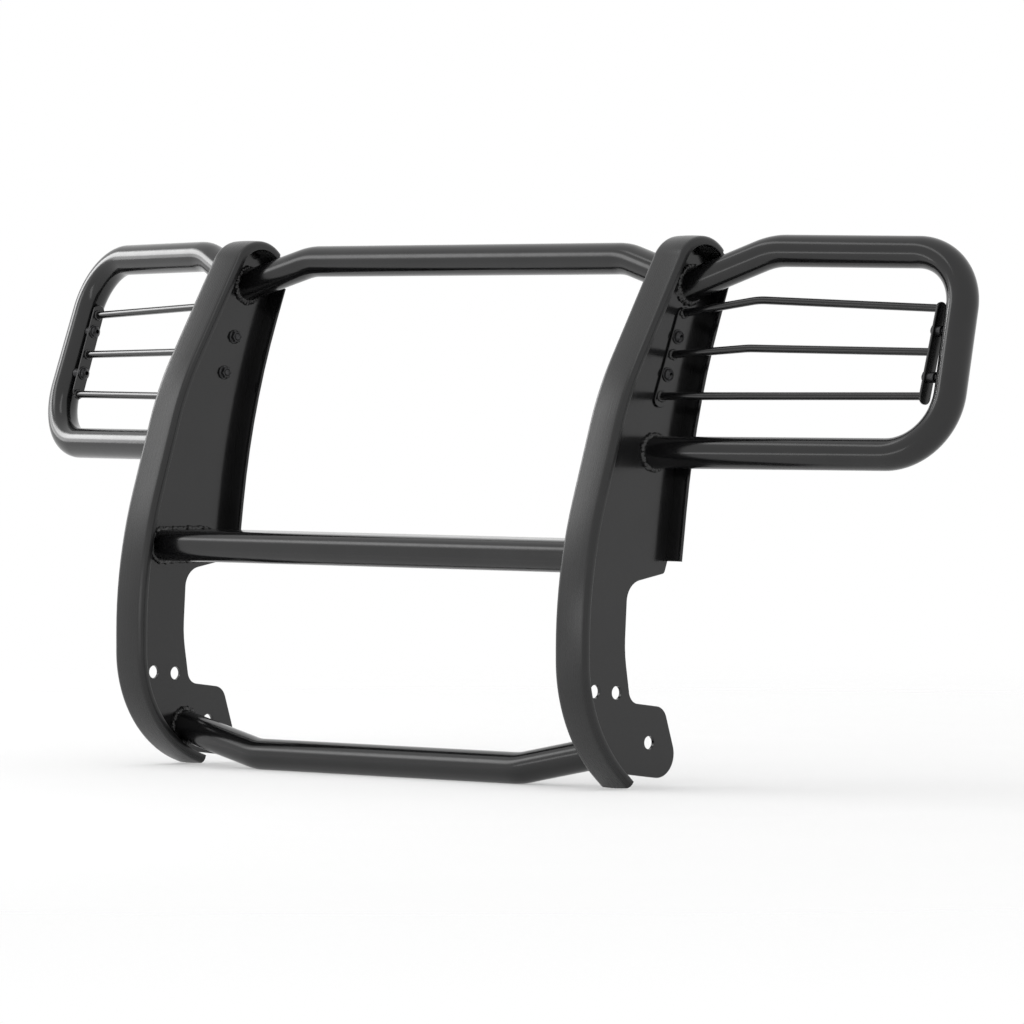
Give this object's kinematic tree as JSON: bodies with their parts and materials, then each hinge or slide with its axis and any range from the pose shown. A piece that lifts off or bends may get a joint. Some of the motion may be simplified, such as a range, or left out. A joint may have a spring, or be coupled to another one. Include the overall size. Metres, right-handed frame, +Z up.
{
  "type": "vehicle grille guard",
  "caption": "Tubular front grille guard: two rubber-edged riser plates joined by cross tubes, with a side hoop and round guard rods in front of each lamp.",
  "frame": {"origin": "middle of the guard's footprint, at its lowest edge", "axes": "+X across the vehicle, to the right of someone facing the guard; +Y rearwards, towards the vehicle; +Z up"},
  "size_m": [1.563, 0.2991, 0.6502],
  "materials": {
    "powder_coat": "gloss black powder coat",
    "rubber": "satin black extrusion",
    "hardware": "black coated steel fasteners",
    "weld": "weld bead under gloss black coat"
  },
  "bodies": {
    "root": {"flange_nut_lower_left": "hardware", "flange_nut_lower_right": "hardware", "flange_nut_upper_left": "hardware", "flange_nut_upper_right": "hardware", "front_flange_left": "powder_coat", "front_flange_right": "powder_coat", "guard_rod_lower_left": "powder_coat", "guard_rod_lower_right": "powder_coat", "guard_rod_middle_left": "powder_coat", "guard_rod_middle_right": "powder_coat", "guard_rod_upper_left": "powder_coat", "guard_rod_upper_right": "powder_coat", "inner_screw_lower_left": "hardware", "inner_screw_lower_right": "hardware", "inner_screw_upper_left": "hardware", "inner_screw_upper_right": "hardware", "inner_strap_left": "powder_coat", "inner_strap_right": "powder_coat", "inner_washer_lower_left": "hardware", "inner_washer_lower_right": "hardware", "inner_washer_upper_left": "hardware", "inner_washer_upper_right": "hardware", "lamp_guard_hoop_left": "powder_coat", "lamp_guard_hoop_right": "powder_coat", "lower_cross_tube": "powder_coat", "lower_cross_weld_left": "weld", "lower_cross_weld_right": "weld", "lower_hoop_weld_left": "weld", "lower_hoop_weld_right": "weld", "middle_cross_member": "powder_coat", "middle_cross_weld_left": "weld", "middle_cross_weld_right": "weld", "outer_screw_lower_left": "hardware", "outer_screw_lower_right": "hardware", "outer_screw_upper_left": "hardware", "outer_screw_upper_right": "hardware", "outer_spacer_lower_left": "hardware", "outer_spacer_lower_right": "hardware", "outer_spacer_upper_left": "hardware", "outer_spacer_upper_right": "hardware", "outer_strap_left": "powder_coat", "outer_strap_right": "powder_coat", "rear_flange_left": "powder_coat", "rear_flange_right": "powder_coat", "riser_plate_left": "powder_coat", "riser_plate_right": "powder_coat", "rubber_strip_left": "rubber", "rubber_strip_right": "rubber", "upper_cross_tube": "powder_coat", "upper_cross_weld_left": "weld", "upper_cross_weld_right": "weld", "upper_hoop_weld_left": "weld", "upper_hoop_weld_right": "weld"}
  },
  "joints": []
}
